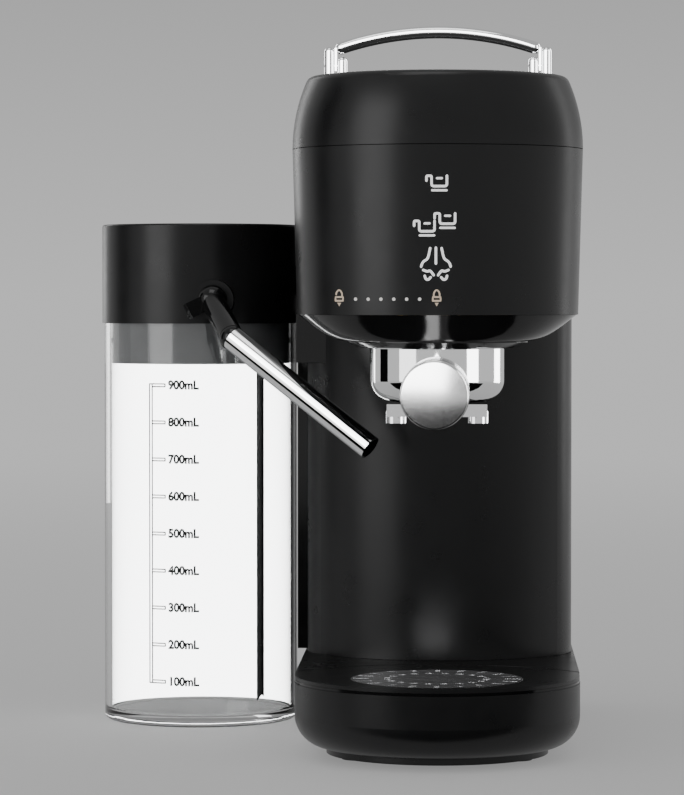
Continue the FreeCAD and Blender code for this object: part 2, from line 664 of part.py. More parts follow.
def make_portafilter():
    bowl = turned("Bowl", [
        (4, s.bowl_bottom), (s.bowl_radius - s.bowl_round, s.bowl_bottom, s.bowl_round),
        (s.bowl_radius, s.bowl_bottom + s.bowl_round), (s.bowl_radius, s.collar_bottom - 0.6),
        (s.neck_ring, s.collar_bottom + 0.3), (s.neck_ring, s.bowl_top),
        (s.bowl_bore, s.bowl_top), (s.bowl_bore, s.bowl_bottom + 6),
        (22, s.bowl_bottom + 3.4), (4, s.bowl_bottom + 3.4)])
    locate(bowl, (0, s.group_y, 0))
    bar = box("LugBar", (-s.lug_radius, s.group_y - 10, s.lug_bottom),
              (s.lug_radius, s.group_y + 10, s.bowl_top))
    disc = cylinder("LugDisc", s.lug_radius, (0, s.group_y, s.lug_bottom - 1), 6)
    bore = cylinder("LugBore", s.neck_ring - 1, (0, s.group_y, s.lug_bottom - 2), 8)
    lugs = cut("Lugs", common("LugSector", bar, disc), bore)
    neck = cylinder("GripNeck", 8, (0, s.grip_back, s.grip_level), s.group_y - s.bowl_radius + 1.6
                    - s.grip_back, "Y")
    inside = cylinder("BowlClear", s.bowl_bore, (0, s.group_y, s.bowl_bottom + 6), 40)
    node(fuse("PortafilterBody", cut("BowlWithNeck", fuse("BowlNeck", bowl, neck), inside), lugs),
         "portafilter_body")

    wall = s.sheet_metal
    basket = turned("Basket", [
        (0, s.basket_bottom), (s.basket_radius - 1.2, s.basket_bottom, 1.2),
        (s.basket_radius, s.basket_bottom + 1.2), (s.basket_radius, s.bowl_top),
        (s.basket_radius + 3, s.bowl_top), (s.basket_radius + 3, s.bowl_top + wall),
        (s.basket_radius - wall, s.bowl_top + wall),
        (s.basket_radius - wall, s.basket_bottom + 1.2),
        (s.basket_radius - 1.2, s.basket_bottom + wall), (0, s.basket_bottom + wall)])
    locate(basket, (0, s.group_y, 0))
    node(basket, "filter_basket")

    spring = doc.addObject("Part::Torus", "BasketSpring")
    bind(spring, "Radius1", (s.basket_radius + s.bowl_bore) / 2)
    spring.Radius2 = 0.24
    locate(spring, (0, s.group_y, 176))
    node(spring, "basket_spring")

    grip = cylinder("GripBar", s.grip_radius, (0, s.grip_front, s.grip_level),
                    s.grip_back - s.grip_front, "Y")
    edge = doc.addObject("Part::Chamfer", "GripEdge")
    edge.Base = grip
    doc.recompute()
    rings = [number for number, item in enumerate(grip.Shape.Edges, start=1)
             if isinstance(item.Curve, Part.Circle)]
    edge.Edges = [(number, 0.6, 0.6) for number in rings]
    node(edge, "portafilter_handle")
    disc = cylinder("CapDisc", s.grip_radius - 0.3, (0, s.cap_front, s.grip_level),
                    s.grip_front - s.cap_front, "Y")
    end = common("CapEnd", disc, sphere("CapDome", s.cap_dome,
                                        (0, s.cap_front + s.cap_dome, s.grip_level)))
    smooth = doc.addObject("Part::Fillet", "CapSmooth")
    smooth.Base = end
    doc.recompute()
    front_ring = [number for number, item in enumerate(end.Shape.Edges, start=1)
                  if isinstance(item.Curve, Part.Circle)
                  and item.CenterOfMass.y < s.grip_front.value - 0.5]
    smooth.Edges = [(number, 0.9, 0.9) for number in front_ring]
    node(smooth, "handle_cap")

    half_depth = s.spout_half_depth
    bridge = box("SpoutBridge", (-s.spout_reach - 4, s.group_y - half_depth, s.spout_top - 5.5),
                 (s.spout_reach + 4, s.group_y + half_depth, s.spout_top))
    stem = cylinder("SpoutStem", 9, (0, s.group_y, s.spout_top - 3), s.bowl_bottom - s.spout_top
                    + 3)
    nozzles = [cylinder(f"Nozzle{number}", s.nozzle_radius,
                        (side * s.spout_reach, s.group_y, s.nozzle_bottom),
                        s.spout_top - 3 - s.nozzle_bottom)
               for number, side in enumerate((-1, 1))]
    drains = [cylinder(f"Drain{number}", 3.2,
                       (side * s.spout_reach, s.group_y, s.nozzle_bottom - 1), 6)
              for number, side in enumerate((-1, 1))]
    feed = cylinder("SpoutFeed", 3.6, (0, s.group_y, s.spout_top - 3.4), 8)
    channel = box("SpoutChannel", (-s.spout_reach - 2, s.group_y - 3, s.spout_top - 4),
                  (s.spout_reach + 2, s.group_y + 3, s.spout_top - 2))
    node(cut("Spout", fuse("SpoutSolid", bridge, stem, *nozzles), feed, channel, *drains),
         "portafilter_spout")


# ---------------------------------------------------------------- works inside the housing

def make_works():
    heater = box("HeaterBlock", (-33, -40, 216.2), (33, 22, 256))
    fins = [box(f"HeaterGroove{number}", (-40, -36 + 10 * number, 250), (40, -32 + 10 * number, 257))
            for number in range(6)]
    node(cut("Heater", heater, *fins), "thermoblock")
    node(cylinder("Thermostat", 6, (0, 1, 256.1), 8), "thermostat")
    coil = box("SolenoidCoil", (20, 30, 204), (46, 62, 228))
    stem = cylinder("SolenoidStem", 5, (33, 46, 228), 14)
    node(fuse("Solenoid", coil, stem), "solenoid_valve")
    valve = box("SteamBlock", (-46, 34, 204), (-22, 62, 226))
    top = cylinder("SteamStem", 5, (-34, 48, 226), 10)
    node(fuse("SteamValve", valve, top), "steam_valve")

    x, y, coil_bottom, coil_top = s.pump_x, s.pump_y, s.pump_bottom, s.pump_bottom + 56
    pump_end, pump_top = coil_bottom - 14, coil_top + 30
    pump = fuse("Pump", cylinder("PumpCoil", s.pump_radius, (x, y, coil_bottom), 56),
                cylinder("PumpFoot", 12, (x, y, pump_end), 14),
                cylinder("PumpNose", 9, (x, y, coil_top), 30))
    node(pump, "pump")
    node(group("PumpMounts", tube("LowMount", 16, 12.1, (x, y, pump_end + 4), 7),
               tube("HighMount", 14, 9.1, (x, y, coil_top + 6), 7)), "pump_mounts")
    node(cylinder("FlowMeter", 14, (s.flow_x, s.flow_y, s.flow_bottom), 18), "flow_meter")
    node(box("ControlBoard", (-40, s.board_y, 206), (40, s.board_y + 1.6, 274)), "control_board")
    sensor = turned("TouchSensor", [(57.4, 206), (58.8, 206), (58.8, 262), (57.4, 262)],
                    SENSOR_ANGLE)
    sensor.Placement = Placement(Vector(0, 0, 0), Rotation(Vector(0, 0, 1), -90))
    node(sensor, "touch_board")

    flow_x, flow_y, hose_level = s.flow_x, s.flow_y, 20
    inlet = hose("InletHose", [(0, s.valve_y, 33), (0, s.valve_y, hose_level),
                               (0, flow_y, hose_level), (flow_x, flow_y, hose_level),
                               (flow_x, flow_y, s.flow_bottom - 0.1)], 2.6, 8)
    node(inlet, "inlet_hose")
    loop_top, loop_bottom = 92, 50
    link = hose("PumpHose", [(flow_x, flow_y, s.flow_bottom + 18.1), (flow_x, flow_y, loop_top),
                             (3, flow_y, loop_top), (3, flow_y, loop_bottom), (x, y, loop_bottom),
                             (x, y, pump_end - 0.1)], 2.4, 7)
    node(link, "pump_hose")
    brew_level = 238
    brew = hose("BrewPipe", [(x, y, pump_top + 0.1), (x, y, brew_level), (x, 22.1, brew_level)],
                2, 14)
    node(brew, "brew_pipe")
    port_end = s.port_reach - 64.2
    steam = hose("SteamPipe", [(port_end - 0.1, s.jar_y, s.link_level), (-51, s.jar_y, s.link_level),
                               (-51, 50, s.link_level), (-46.1, 50, s.link_level)], 1.8, 4)
    port = tube("Port", 5, 1.8, (-64.2, s.jar_y, s.link_level), s.port_reach, "X")
    node(fuse("SteamLine", steam, port), "steam_pipe")


def make_rear_fittings():
    flange = cylinder("GlandFlange", 10, (s.inlet_x, s.base_rear, s.rear_fitting_level), 2, "Y")
    barrel = cylinder("GlandBarrel", 6.4, (s.inlet_x, s.base_rear - 6, s.rear_fitting_level),
                      s.gland_reach + 6, "Y")
    bore = cylinder("GlandBore", 3.6, (s.inlet_x, s.base_rear - 8, s.rear_fitting_level), 20, "Y")
    trimmed = box("GlandTop", (s.inlet_x - 12, s.base_rear - 1, s.base_top - 0.2),
                  (s.inlet_x + 12, s.base_rear + 8, s.base_top + 6))
    node(cut("Gland", fuse("GlandSolid", flange, barrel), bore, trimmed), "cord_gland")

    level = s.rear_fitting_level
    frame = box("BezelRim", (s.switch_x - 11, s.base_rear, level - 7.5),
                (s.switch_x + 11, s.base_rear + 1.6, level + 7.5))
    sleeve = box("BezelSleeve", (s.switch_x - 9.4, s.base_rear - 12, level - 5.9),
                 (s.switch_x + 9.4, s.base_rear, level + 5.9))
    window = box("BezelWindow", (s.switch_x - 8.2, s.base_rear - 10, level - 5),
                 (s.switch_x + 8.2, s.base_rear + 3, level + 5))
    node(cut("Bezel", fuse("BezelSolid", frame, sleeve), window), "switch_bezel")
    drum = cylinder("RockerDrum", 9, (s.switch_x - 7.8, s.base_rear - 5, level), 15.6, "X")
    slab = box("RockerSlab", (s.switch_x - 8, s.base_rear - 7, level - 3.4),
               (s.switch_x + 8, s.base_rear + 2.6, level + 3.4))
    node(common("Rocker", drum, slab), "power_rocker")


# ---------------------------------------------------------------- water tank

def make_tank():
    corner = s.rear_corner - 1.5
    outside = prism("TankOutside", tank_outline(s.tank_half, s.tank_front, s.tank_rear, corner),
                    s.tank_bottom, s.tank_top)
    wall = s.tank_wall
    inside = prism("TankInside", tank_outline(s.tank_half - wall, s.tank_front + wall,
                                              s.tank_rear - wall, corner - wall),
                   s.tank_bottom + wall, s.tank_top + 2)
    hole = cylinder("TankOutlet", s.stem_radius + 0.6, (0, s.valve_y, s.tank_bottom - 1), 5)
    floor = s.tank_bottom + wall
    cage = box("CageBridge", (-12, s.valve_y - 3, floor + 13), (12, s.valve_y + 3, floor + 15))
    legs = [box(f"CageLeg{number}", (side * 11 - 1, s.valve_y - 3, floor - 0.5),
                (side * 11 + 1, s.valve_y + 3, floor + 15)) for number, side in enumerate((-1, 1))]
    node(fuse("TankWithCage", cut("Tank", outside, inside, hole), cage, *legs), "water_tank")

    lid_bottom = s.tank_top + s.lid_gap
    lid = prism("LidBlank", tank_outline(s.tank_half, s.tank_front + 0.2, s.tank_rear, corner),
                lid_bottom, s.head_top)
    fillet_level(lid, s.head_top, 2.5)
    hollow = prism("LidInside", tank_outline(s.tank_half - 2.6, s.tank_front + 2.8,
                                             s.tank_rear - 2.6, corner - 2.6),
                   lid_bottom - 1, s.head_top - 2.4)
    finger = cylinder("LidNotch", 14, (0, s.tank_rear + 8, lid_bottom - 1), 6)
    node(cut("Lid", lid, hollow, finger), "tank_lid")

    stem = cylinder("ValveStem", s.stem_radius, (0, s.valve_y, s.tank_bottom - 1.2), wall + 3)
    flange = cylinder("ValveFlange", 7, (0, s.valve_y, floor + 0.3), 1.6)
    pin = cylinder("ValvePin", 1.6, (0, s.valve_y, floor + 1), 9)
    node(fuse("Valve", stem, flange, pin), "tank_valve")
    turns = Part.makeHelix(2.4, 9.6, 4.2)
    ring = Part.Wire(Part.makeCircle(0.45, Vector(4.2, 0, 0), Vector(0, 1, 0)))
    coil = doc.addObject("Part::Feature", "ValveSpring")
    coil.Shape = Part.Wire(turns).makePipeShell([ring], True, True)
    locate(coil, (0, s.valve_y, floor + 2.4))
    node(coil, "valve_spring")
    seat = tube("Seat", 11, 5.4, (0, s.valve_y, s.base_top + 0.05), 1.7)
    spigot = tube("Spigot", 6.8, 5.4, (0, s.valve_y, s.base_top - 2.6), 2.8)
    node(fuse("TankSeat", seat, spigot), "tank_seat")


# ---------------------------------------------------------------- milk jar, lid and spout

def make_jar():
    jar = turned("Jar", [
        (0, 0), (s.jar_radius - 3, 0, 3), (s.jar_radius, 3), (s.jar_radius, s.jar_top),
        (s.jar_bore, s.jar_top), (s.jar_bore, s.jar_floor + 2, -2),
        (s.jar_bore - 2, s.jar_floor), (0, s.jar_floor)])
    locate(jar, (s.jar_x, s.jar_y, 0))
    node(jar, "milk_jar")

    lid = turned("LidCap", [
        (0, s.lid_top - s.wall), (s.lid_radius - s.wall, s.lid_top - s.wall),
        (s.lid_radius - s.wall, s.lid_bottom), (s.lid_radius, s.lid_bottom),
        (s.lid_radius, s.lid_top - 1.2, 1.2), (s.lid_radius - 1.2, s.lid_top), (0, s.lid_top)])
    locate(lid, (s.jar_x, s.jar_y, 0))
    link_hole = cylinder("LinkHole", 7.1, (s.jar_x + 40, s.jar_y, s.link_level), 12, "X")
    hub_hole = cylinder("HubHole", s.hub_radius + 0.1, (s.hub_x, s.jar_y - s.lid_radius - 2,
                                                       s.hub_level), 14, "Y")
    node(cut("MilkLid", lid, link_hole, hub_hole), "milk_lid")

    insert = turned("Insert", [
        (s.skirt_radius - 2, s.skirt_bottom), (s.skirt_radius, s.skirt_bottom),
        (s.skirt_radius, s.lid_bottom + 0.1), (s.lid_radius - s.wall - 0.15, s.lid_bottom + 0.1),
        (s.lid_radius - s.wall - 0.15, s.lid_bottom + 2), (0, s.lid_bottom + 2),
        (0, s.lid_bottom), (s.skirt_radius - 2, s.lid_bottom)])
    locate(insert, (s.jar_x, s.jar_y, 0))
    tube_hole = cylinder("TubeHole", s.suction_radius + 0.05,
                         (s.suction_x, s.suction_y, s.skirt_bottom), 30)
    hub_clear = cylinder("HubClear", s.hub_radius + 0.1, (s.hub_x, s.jar_y - s.lid_radius - 2,
                                                         s.hub_level), 40, "Y")
    node(cut("LidInsert", insert, tube_hole, hub_clear), "lid_insert")
    node(tube("JarSeal", s.skirt_radius + 0.5, s.skirt_radius, (s.jar_x, s.jar_y, 182), 2.5),
         "jar_seal")

    whole = cylinder("SuctionBar", s.suction_radius,
                     (s.suction_x, s.suction_y, s.jar_floor + 3.4), 186)
    bore = cylinder("SuctionBore", s.suction_radius - 0.7,
                    (s.suction_x, s.suction_y, s.jar_floor), 196)
    slant = box("SuctionSlant", (s.suction_x - 3.4, s.suction_y - 4, s.jar_floor + 1),
                (s.suction_x + 2.6, s.suction_y + 4, s.jar_floor + 8),
                Rotation(Vector(0, 1, 0), SUCTION_SLANT))
    node(cut("Suction", whole, bore, slant), "suction_tube")

    chamber = cylinder("FrothChamber", s.froth_radius, (s.hub_x, s.jar_y - 34, s.hub_level + 1.2),
                       26, "Y")
    riser = cylinder("FrothRiser", s.froth_radius, (s.hub_x, s.jar_y - 8, s.hub_level + 1.2), 24)
    node(fuse("Chamber", chamber, riser), "froth_chamber")

    plug = cylinder("LinkPlug", 7, (s.jar_x + 38, s.jar_y, s.link_level), 13.3, "X")
    bore = cylinder("LinkBore", 2, (s.jar_x + 36, s.jar_y, s.link_level), 20, "X")
    node(cut("LidLink", plug, bore), "lid_connector")
    socket = cylinder("HubSocket", s.hub_radius, (s.hub_x, s.hub_y + 4, s.hub_level), 18, "Y")
    mouth = cylinder("HubMouth", s.journal_radius + 0.1, (s.hub_x, s.hub_y, s.hub_level), 14, "Y")
    node(cut("Hub", socket, mouth), "spout_socket")


def make_spout():
    elbow = (s.elbow_x, s.elbow_y, s.elbow_level)
    tip = (s.tip_x, s.tip_y, s.tip_level)
    journal = cylinder("SpoutJournal", s.journal_radius, (s.hub_x, s.hub_y - 1, s.hub_level), 10, "Y")
    middle = (s.hub_x, s.hub_y - s.knuckle_y, s.hub_level)
    knuckle = sphere("SpoutKnuckle", s.knuckle_radius, middle)
    bar = between("SpoutNeck", s.neck_radius, middle, elbow)
    bend = sphere("SpoutBend", s.neck_radius + 0.3, elbow)
    keep = between("NeckKeep", s.pipe_radius + 3, elbow, tip)
    # the lever points left and down from the knuckle, and a little forward
    paddle = box("LeverPaddle", (0, 0, 0), (s.lever_length, s.lever_depth, s.lever_height))
    tilt = Rotation(Vector(0, 1, 0), LEVER_DROP) * Rotation(Vector(0, 0, 1), LEVER_TURN)
    start = tilt.multVec(Vector(-s.lever_length.value, -s.lever_depth.value / 2,
                                -s.lever_height.value / 2))
    locate(paddle, (s.hub_x + start.x, s.hub_y - s.knuckle_y - 1 + start.y,
                    s.hub_level + start.z), tilt)
    node(cut("Neck", fuse("NeckSolid", journal, knuckle, bar, bend, paddle), keep),
         "spout_neck")
    node(between("SpoutPipe", s.pipe_radius, elbow, tip, s.pipe_radius - 0.7), "spout_tube")


def make_dock():
    node(box("DockPanel", (-67.6, 114, s.base_top + 0.4), (-s.column_half - 0.05, 170,
                                                          s.head_bottom - 0.2)), "dock_panel")
    block = box("DockBlock", (-67, 84, 173.3), (-48, 113.8, s.head_bottom - 0.2))
    node(cut("Dock", block, column_block("DockKeep", 0.05)), "dock_socket")


# ---------------------------------------------------------------- carry handle

def post_places():
    return [(side, x) for side in (-1, 1) for x in (s.inner_post, s.outer_post)]


def make_handle():
    posts = []
    for number, (side, x) in enumerate(post_places()):
        top = s.inner_post_top if x is s.inner_post else s.outer_post_top
        bar = cylinder(f"Post{number}", s.post_radius, (side * x, s.handle_y, s.head_top),
                       top - s.post_radius - s.head_top)
        dome = sphere(f"Dome{number}", s.post_radius, (side * x, s.handle_y,
                                                       top - s.post_radius))
        stud = cylinder(f"Stud{number}", 1.2, (side * x, s.handle_y, s.head_top - 4), 5)
        hole = cylinder(f"PinHole{number}", s.pin_radius, (side * x - 4, s.handle_y,
                                                           s.pivot_level), 8, "X")
        posts.append(cut(f"PostPart{number}", fuse(f"PostSolid{number}", bar, dome, stud), hole))
    node(group("Posts", *posts), "handle_posts")
    pins = [cylinder(f"Pin{number}", s.pin_radius, (side * s.post_middle - 4.6, s.handle_y,
                                                    s.pivot_level), 9.2, "X")
            for number, side in enumerate((-1, 1))]
    node(group("Pins", *pins), "handle_pins")

    centre = s.bow_top - s.bow_radius
    end_level = centre + root(s.bow_radius * s.bow_radius - s.bow_half * s.bow_half)
    bow = doc.addObject("PartDesign::Body", "Bow")
    path = add_sketch(bow, "XZ_Plane", [(-s.bow_half, end_level, -s.bow_radius),
                                        (s.bow_half, end_level)], 0, False)
    # the section lies across the middle of the bow
    section = add_sketch(bow, "YZ_Plane", [
        (-s.rod_radius, s.bow_top, s.rod_radius), (0, s.bow_top - s.rod_radius, s.rod_radius),
        (s.rod_radius, s.bow_top, s.rod_radius), (0, s.bow_top + s.rod_radius, s.rod_radius)])
    doc.recompute()
    pipe = bow.newObject("PartDesign::AdditivePipe", "BowPipe")
    pipe.Profile = section
    pipe.Spine = (path, ["Edge1"])
    locate(bow, (0, s.handle_y, 0))
    pieces = [bow]
    for number, side in enumerate((-1, 1)):
        pieces.append(sphere(f"BowEnd{number}", s.rod_radius, (side * s.bow_half, s.handle_y,
                                                               end_level)))
        inner = side * s.post_middle - 0.5
        pieces.append(box(f"Tongue{number}", (inner, s.handle_y - 2, s.pivot_level - 2.2),
                          (inner + 1, s.handle_y + 2, end_level)))
    holes = [cylinder(f"TongueHole{number}", s.pin_radius + 0.06,
                      (side * s.post_middle - 2, s.handle_y, s.pivot_level), 4, "X")
             for number, side in enumerate((-1, 1))]
    node(cut("Handle", fuse("HandleSolid", *pieces), *holes), "carry_handle")


make_base()
make_drip_tray()
make_housing()
make_frame()
make_group()
make_portafilter()
make_works()
make_rear_fittings()
make_tank()
make_jar()
make_spout()
make_dock()
make_handle()
doc.recompute()

# ---------------------------------------------------------------- checks and export

problems = []
for item in doc.Objects:
    for state in item.State:
        if state in ("Invalid", "Error"):
            problems.append(f"{item.Name}: {state}")
for item in nodes:
    shape = item.Shape
    if shape.isNull() or not shape.isValid() or not shape.Solids:
        problems.append(f"{item.Label}: bad shape")
if problems:
    raise RuntimeError("; ".join(problems))

low = Vector(*[min(getattr(item.Shape.BoundBox, side) for item in nodes)
               for side in ("XMin", "YMin", "ZMin")])
high = Vector(*[max(getattr(item.Shape.BoundBox, side) for item in nodes)
                for side in ("XMax", "YMax", "ZMax")])
for item in nodes:
    item.Shape.exportStep(f"parts/{item.Label}.step")
print(len(nodes), "sub-parts, box", low, high)
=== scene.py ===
"""Looks for the slim espresso machine with its milk jar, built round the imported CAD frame."""

import math

import bmesh
import bpy
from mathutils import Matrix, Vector
from mathutils.bvhtree import BVHTree


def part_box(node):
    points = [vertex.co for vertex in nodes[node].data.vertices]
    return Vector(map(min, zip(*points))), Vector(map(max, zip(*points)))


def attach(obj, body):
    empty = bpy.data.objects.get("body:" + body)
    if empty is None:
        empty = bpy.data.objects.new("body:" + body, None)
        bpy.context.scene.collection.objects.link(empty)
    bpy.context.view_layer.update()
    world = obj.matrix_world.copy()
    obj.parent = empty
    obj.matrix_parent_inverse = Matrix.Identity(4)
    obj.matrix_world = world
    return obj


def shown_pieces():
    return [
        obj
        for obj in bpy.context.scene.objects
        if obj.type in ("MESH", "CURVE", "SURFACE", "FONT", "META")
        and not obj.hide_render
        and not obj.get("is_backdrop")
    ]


MM = 0.001

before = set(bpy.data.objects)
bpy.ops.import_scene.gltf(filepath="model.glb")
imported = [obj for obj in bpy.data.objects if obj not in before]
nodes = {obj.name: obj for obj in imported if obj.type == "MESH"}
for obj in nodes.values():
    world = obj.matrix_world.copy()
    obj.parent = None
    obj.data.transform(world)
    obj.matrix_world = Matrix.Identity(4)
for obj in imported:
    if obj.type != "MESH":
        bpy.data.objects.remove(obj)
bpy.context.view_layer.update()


def middle(name):
    low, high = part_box(name)
    return (low + high) / 2


HEAD_LOW, HEAD_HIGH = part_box("head_shell")
HEAD_X = ((HEAD_LOW + HEAD_HIGH) / 2).x
JAR = middle("milk_jar")
BASE_LOW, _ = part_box("base_shell")

# Camera -----------------------------------------------------------------------------------

SENSOR = 36.0
FRAME_LONG_SIDE = 795
FOCAL_PIXELS = 3600
EYE = Vector((HEAD_X + 14 * MM, -1.6447, 0.204))
AIM = Vector((-127, FOCAL_PIXELS, -100.5))


def make_camera():
    data = bpy.data.cameras.new("camera")
    data.sensor_width = SENSOR
    data.lens = SENSOR * FOCAL_PIXELS / FRAME_LONG_SIDE
    data.clip_end = 60
    camera = bpy.data.objects.new("camera", data)
    camera.location = EYE
    camera.rotation_euler = AIM.to_track_quat("-Z", "Y").to_euler()
    bpy.context.scene.collection.objects.link(camera)
    bpy.context.scene.camera = camera


# Materials --------------------------------------------------------------------------------


def principled(name, **inputs):
    """A material with one Principled shader whose sockets take the given values."""
    material = bpy.data.materials.new(name)
    material.use_nodes = True
    shader = material.node_tree.nodes["Principled BSDF"]
    for key, value in inputs.items():
        shader.inputs[key.replace("_", " ")].default_value = value
    return material


def rgb(red, green, blue):
    return (red, green, blue, 1.0)


def texture(material, kind, scale, stretch=(1, 1, 1), **inputs):
    """A procedural texture node laid out in the row frame."""
    tree = material.node_tree
    place = tree.nodes.new("ShaderNodeTexCoord")
    mapping = tree.nodes.new("ShaderNodeMapping")
    mapping.inputs["Scale"].default_value = stretch
    tree.links.new(place.outputs["Object"], mapping.inputs["Vector"])
    node = tree.nodes.new(kind)
    node.inputs["Scale"].default_value = scale
    for key, value in inputs.items():
        node.inputs[key].default_value = value
    tree.links.new(mapping.outputs["Vector"], node.inputs["Vector"])
    return node


def bump(material, source, distance, strength=1.0):
    """Raises the surface by the source texture; a second call adds its relief to the first."""
    tree = material.node_tree
    shader = tree.nodes["Principled BSDF"]
    node = tree.nodes.new("ShaderNodeBump")
    node.inputs["Distance"].default_value = distance
    node.inputs["Strength"].default_value = strength
    tree.links.new(source, node.inputs["Height"])
    if shader.inputs["Normal"].links:
        tree.links.new(shader.inputs["Normal"].links[0].from_socket, node.inputs["Normal"])
    tree.links.new(node.outputs["Normal"], shader.inputs["Normal"])


def spread(material, source, socket, low, high, start=0.35, end=0.65):
    """Drives a socket from a texture, between low and high."""
    tree = material.node_tree
    ramp = tree.nodes.new("ShaderNodeMapRange")
    ramp.inputs["From Min"].default_value = start
    ramp.inputs["From Max"].default_value = end
    ramp.inputs["To Min"].default_value = low
    ramp.inputs["To Max"].default_value = high
    tree.links.new(source, ramp.inputs["Value"])
    tree.links.new(ramp.outputs["Result"], tree.nodes["Principled BSDF"].inputs[socket])


def tint(material, source, dark, light, start=0.35, end=0.65):
    """Colours a material between two tones by a texture."""
    tree = material.node_tree
    ramp = tree.nodes.new("ShaderNodeValToRGB")
    ramp.color_ramp.elements[0].position = start
    ramp.color_ramp.elements[0].color = dark
    ramp.color_ramp.elements[1].position = end
    ramp.color_ramp.elements[1].color = light
    tree.links.new(source, ramp.inputs["Fac"])
    tree.links.new(ramp.outputs["Color"], tree.nodes["Principled BSDF"].inputs["Base Color"])


def plastic(name, dark, light, rough, grain, specular=0.5, coat=0.0):
    """Moulded plastic: a fine grain, a slow change of gloss, and a faint mottle of tone."""
    material = principled(name, Specular_IOR_Level=specular, Coat_Weight=coat, Coat_Roughness=0.08)
    mottle = texture(material, "ShaderNodeTexNoise", 38, Detail=4, Roughness=0.6)
    tint(material, mottle.outputs["Fac"], rgb(*dark), rgb(*light))
    spread(material, mottle.outputs["Fac"], "Roughness", rough - 0.03, rough + 0.03)
    fine = texture(material, "ShaderNodeTexNoise", 2600, Detail=2, Roughness=0.5)
    bump(material, fine.outputs["Fac"], grain)
    return material


def metal(name, colour, rough, stretch=None, scale=900, relief=0.0, swing=0.02):
    """Metal with a slow change of gloss, and fine brushed lines along an axis if stretched."""
    material = principled(name, Base_Color=rgb(*colour), Metallic=1.0)
    if stretch:
        lines = texture(material, "ShaderNodeTexNoise", scale, stretch, Detail=3, Roughness=0.55)
        spread(material, lines.outputs["Fac"], "Roughness", rough - swing, rough + swing * 2)
        bump(material, lines.outputs["Fac"], relief)
    else:
        smear = texture(material, "ShaderNodeTexNoise", 60, Detail=5, Roughness=0.6)
        spread(material, smear.outputs["Fac"], "Roughness", max(rough - swing, 0.01), rough + swing)
    return material


def clear(name, colour, rough, ior):
    return principled(name, Base_Color=rgb(*colour), Roughness=rough, IOR=ior,
                      Transmission_Weight=1.0)


satin = plastic("satin_black", (0.0065, 0.0066, 0.007), (0.0085, 0.0086, 0.009), 0.30, 0.00001, 0.42)
gloss = plastic("gloss_black", (0.004, 0.004, 0.0042), (0.005, 0.005, 0.0052), 0.11, 0.000004, 0.45)
matt = plastic("black_plastic", (0.011, 0.011, 0.012), (0.015, 0.015, 0.016), 0.5, 0.00004, 0.4)
smoke_grey = plastic("grey_plastic", (0.19, 0.195, 0.20), (0.23, 0.235, 0.24), 0.16, 0.000004)
chrome = metal("chrome", (0.93, 0.935, 0.94), 0.05, swing=0.015)
satin_chrome = metal("satin_chrome", (0.93, 0.93, 0.93), 0.2, (1, 0.02, 1), 1400, 0.000002)
brushed = metal("brushed_steel", (0.62, 0.62, 0.63), 0.24, (0.03, 1, 1), 1200, 0.000004)
cast = metal("cast_aluminium", (0.66, 0.67, 0.68), 0.48)
bump(cast, texture(cast, "ShaderNodeTexNoise", 700, Detail=4).outputs["Fac"], 0.00012)
brass = metal("brass", (0.72, 0.52, 0.22), 0.22, (1, 1, 0.05), 900, 0.000004)
shell = plastic("pump_shell", (0.36, 0.05, 0.03), (0.42, 0.065, 0.04), 0.3, 0.00001)
rubber = plastic("rubber", (0.012, 0.012, 0.012), (0.018, 0.018, 0.018), 0.62, 0.00003, 0.3)
silicone = plastic("silicone", (0.62, 0.62, 0.6), (0.7, 0.7, 0.68), 0.4, 0.00001)
ptfe = plastic("ptfe", (0.78, 0.78, 0.76), (0.86, 0.86, 0.84), 0.3, 0.000006)
board = plastic("circuit_board", (0.012, 0.085, 0.035), (0.02, 0.12, 0.05), 0.28, 0.00001)
tube_black = plastic("black_tube", (0.006, 0.006, 0.006), (0.009, 0.009, 0.009), 0.2, 0.000004)
glass = clear("clear_jar", (0.985, 0.99, 0.99), 0.0, 1.46)
smoke = clear("smoked_tank", (0.22, 0.22, 0.23), 0.04, 1.46)
# The white, tan and dotted prints also glow a little: a painted glow that makes them brighter than
# their lit colour alone.
print_white_painted_glow = principled("print_white_painted_glow", Base_Color=rgb(0.9, 0.9, 0.9), Roughness=0.5,
                         Emission_Strength=0.55, Emission_Color=rgb(1, 1, 1))
print_tan_painted_glow = principled("print_tan_painted_glow", Base_Color=rgb(0.62, 0.5, 0.38), Roughness=0.5,
                       Emission_Strength=0.18, Emission_Color=rgb(0.75, 0.6, 0.45))
print_dots_painted_glow = principled("print_dots_painted_glow", Base_Color=rgb(0.75, 0.73, 0.7), Roughness=0.5,
                        Emission_Strength=0.25, Emission_Color=rgb(0.8, 0.78, 0.75))
print_grey = principled("print_grey", Base_Color=rgb(0.04, 0.04, 0.04), Roughness=0.5)
print_black = principled("print_black", Base_Color=rgb(0.004, 0.004, 0.004), Roughness=0.5)

SLOT_LOOKS = {
    "satin_black": satin,
    "gloss_black": gloss,
    "black_plastic": matt,
    "grey_plastic": smoke_grey,
    "chrome": chrome,
    "satin_chrome": satin_chrome,
    "brushed_steel": brushed,
    "cast_aluminium": cast,
    "brass": brass,
    "pump_shell": shell,
    "rubber": rubber,
    "silicone": silicone,
    "ptfe": ptfe,
    "circuit_board": board,
    "black_tube": tube_black,
    "clear_jar": glass,
    "smoked_tank": smoke,
}


def dress_nodes():
    for node in nodes.values():
        for index, material in enumerate(node.data.materials):
            slot = material.name.split(".")[0]
            node.data.materials[index] = SLOT_LOOKS[slot]
    nodes["jar_seal"].data.materials[0] = smoke_grey
    nodes["spout_socket"].data.materials[0] = satin


# Printed marks ----------------------------------------------------------------------------


